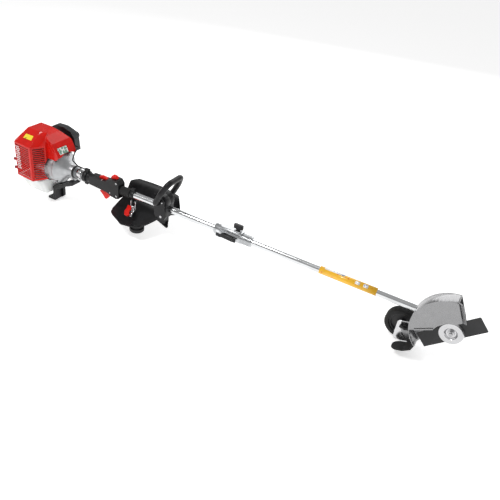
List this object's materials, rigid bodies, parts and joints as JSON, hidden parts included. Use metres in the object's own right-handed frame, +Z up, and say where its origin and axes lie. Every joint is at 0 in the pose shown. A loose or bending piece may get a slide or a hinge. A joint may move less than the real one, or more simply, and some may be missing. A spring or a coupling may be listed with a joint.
{
  "type": "lawn edger",
  "caption": "Petrol lawn edger: red-covered engine and tank at one end of a split tube, with a rear throttle handle, loop handle and guarded steel blade on a depth wheel at the other end.",
  "frame": {"origin": "on the floor under the middle of the machine, with the drive axis 152 mm above it", "axes": "+X along the drive axis from the engine to the blade, +Y towards the air filter side, +Z up"},
  "size_m": [1.841, 0.2303, 0.3],
  "materials": {
    "red_plastic": "gloss",
    "red_lever": "satin",
    "black_plastic": "satin",
    "grip_plastic": "grained",
    "rubber": "matt",
    "tyre": "matt",
    "hub_plastic": "satin",
    "tank_plastic": "translucent satin",
    "cast_alloy": "cast",
    "tube_alloy": "polished",
    "coupler_alloy": "machined",
    "gear_alloy": "cast",
    "fin_alloy": "cast",
    "steel": "ground",
    "spring_steel": "oiled",
    "zinc_steel": "plated",
    "blade_steel": "black coated",
    "guard_steel": "silver lacquer",
    "muffler_steel": "heat-resistant",
    "brass": "satin",
    "foam": "foam",
    "ceramic": "glazed",
    "filter_plastic": "satin"
  },
  "bodies": {
    "machine": {"crankcase": "cast_alloy", "crankshaft": "spring_steel", "piston": "fin_alloy", "connecting_rod": "steel", "cylinder": "fin_alloy", "spark_plug": "ceramic", "plug_boot": "rubber", "flywheel": "cast_alloy", "clutch_shoes": "steel", "fan_case": "cast_alloy", "clutch_case": "cast_alloy", "ball_bearings": "steel", "recoil_housing": "black_plastic", "muffler": "muffler_steel", "engine_cover": "red_plastic", "carburetor": "cast_alloy", "filter_base": "black_plastic", "filter_cover": "filter_plastic", "fuel_tank": "tank_plastic", "tank_stand": "black_plastic", "upper_tube": "tube_alloy", "lower_tube": "tube_alloy", "shaft_bushes": "brass", "handle_right": "grip_plastic", "handle_left": "grip_plastic", "foam_sleeve": "foam", "hanger_clamp": "black_plastic", "hip_guard": "black_plastic", "loop_clamp": "black_plastic", "coupler_body": "coupler_alloy", "gearcase": "gear_alloy", "blade_guard": "guard_steel", "debris_flap": "rubber", "throttle_cable": "rubber", "fasteners": "zinc_steel"},
    "drive_line": {"clutch_drum": "steel", "upper_shaft": "spring_steel", "lower_shaft": "spring_steel", "bevel_pinion": "steel"},
    "blade_set": {"arbor": "steel", "bevel_gear": "steel", "blade": "blade_steel", "blade_fasteners": "zinc_steel"},
    "wheel_carrier": {"wheel_bracket": "zinc_steel"},
    "wheel": {"wheel_hub": "hub_plastic", "wheel_tyre": "tyre"},
    "bracket_knob": {"wheel_knob": "black_plastic"},
    "trigger": {"throttle_trigger": "red_lever"},
    "lockout": {"throttle_lockout": "red_lever"},
    "switch": {"stop_switch": "red_lever"},
    "choke": {"choke_lever": "black_plastic"},
    "primer": {"primer_bulb": "red_lever"},
    "tank_cap": {"fuel_cap": "black_plastic"},
    "cover_knob": {"filter_knob": "filter_plastic"},
    "reel": {"recoil_reel": "black_plastic"},
    "starter_grip": {"recoil_grip": "grip_plastic"},
    "hook": {"harness_hook": "zinc_steel"},
    "loop": {"loop_handle": "grip_plastic"},
    "tube_knob": {"coupler_knob": "black_plastic"},
    "tube_latch": {"coupler_latch": "black_plastic"}
  },
  "joints": [
    {"name": "drive_spin", "type": "hinge", "parent": "machine", "child": "drive_line", "pos_m": [0, 0, 0.152], "axis": [1, 0, 0], "continuous": true},
    {"name": "blade_spin", "type": "hinge", "parent": "machine", "child": "blade_set", "pos_m": [0.822, 0, 0.152], "axis": [0, 1, 0], "continuous": true},
    {"name": "wheel_height", "type": "slide", "parent": "machine", "child": "wheel_carrier", "axis": [0, 0, 1], "range_m": [0, 0.04]},
    {"name": "wheel_spin", "type": "hinge", "parent": "wheel_carrier", "child": "wheel", "pos_m": [0.672, 0.034, 0.055], "axis": [0, 1, 0], "continuous": true},
    {"name": "bracket_knob_turn", "type": "hinge", "parent": "machine", "child": "bracket_knob", "pos_m": [0.692, -0.03, 0.092], "axis": [0, 1, 0], "range_deg": [0, 360]},
    {"name": "throttle_pull", "type": "hinge", "parent": "machine", "child": "trigger", "pos_m": [-0.49, 0, 0.132], "axis": [0, 1, 0], "range_deg": [0, 14], "stiffness_Nm_per_rad": 0.25, "springref_deg": -17.19},
    {"name": "lockout_press", "type": "hinge", "parent": "machine", "child": "lockout", "pos_m": [-0.53, 0, 0.1715], "axis": [0, 1, 0], "range_deg": [-8, 0], "stiffness_Nm_per_rad": 0.15, "springref_deg": 8.59},
    {"name": "switch_slide", "type": "slide", "parent": "machine", "child": "switch", "axis": [1, 0, 0], "range_m": [0, 0.008]},
    {"name": "choke_turn", "type": "hinge", "parent": "machine", "child": "choke", "pos_m": [-0.853, 0.07, 0.214], "axis": [1, 0, 0], "range_deg": [-45, 0]},
    {"name": "primer_press", "type": "slide", "parent": "machine", "child": "primer", "axis": [-1, 0, 0], "range_m": [0, 0.0025], "stiffness_N_per_m": 1500},
    {"name": "tank_cap_turn", "type": "hinge", "parent": "machine", "child": "tank_cap", "pos_m": [-0.903, 0.034, 0.074], "axis": [-0.9701, 0, 0.2425], "range_deg": [0, 720]},
    {"name": "cover_knob_turn", "type": "hinge", "parent": "machine", "child": "cover_knob", "pos_m": [-0.77, 0.112, 0.244], "axis": [0, 1, 0], "range_deg": [0, 1080]},
    {"name": "reel_turn", "type": "hinge", "parent": "machine", "child": "reel", "pos_m": [-0.891, 0, 0.152], "axis": [1, 0, 0], "range_deg": [0, 80], "stiffness_Nm_per_rad": 0.03, "springref_deg": -57.3},
    {"name": "starter_pull", "type": "slide", "parent": "machine", "child": "starter_grip", "axis": [0, 0, 1], "range_m": [0, 0.0601]},
    {"name": "hook_swing", "type": "hinge", "parent": "machine", "child": "hook", "pos_m": [-0.392, 0, 0.1234], "axis": [1, 0, 0], "range_deg": [-20, 20]},
    {"name": "loop_tilt", "type": "hinge", "parent": "machine", "child": "loop", "pos_m": [-0.256, 0, 0.184], "axis": [0, 1, 0], "range_deg": [-30, 25]},
    {"name": "tube_knob_turn", "type": "hinge", "parent": "machine", "child": "tube_knob", "pos_m": [0.061, 0, 0.182], "axis": [0, 0, 1], "range_deg": [0, 360]},
    {"name": "tube_latch_open", "type": "hinge", "parent": "machine", "child": "tube_latch", "pos_m": [0.008, -0.027, 0.152], "axis": [0, 0, -1], "range_deg": [0, 12], "stiffness_Nm_per_rad": 0.3, "springref_deg": -11.46}
  ],
  "couplings": [
    {"joint": "blade_spin", "follows": "drive_spin", "ratio": 0.75},
    {"joint": "starter_pull", "follows": "reel_turn", "m_per_rad": 0.043}
  ]
}
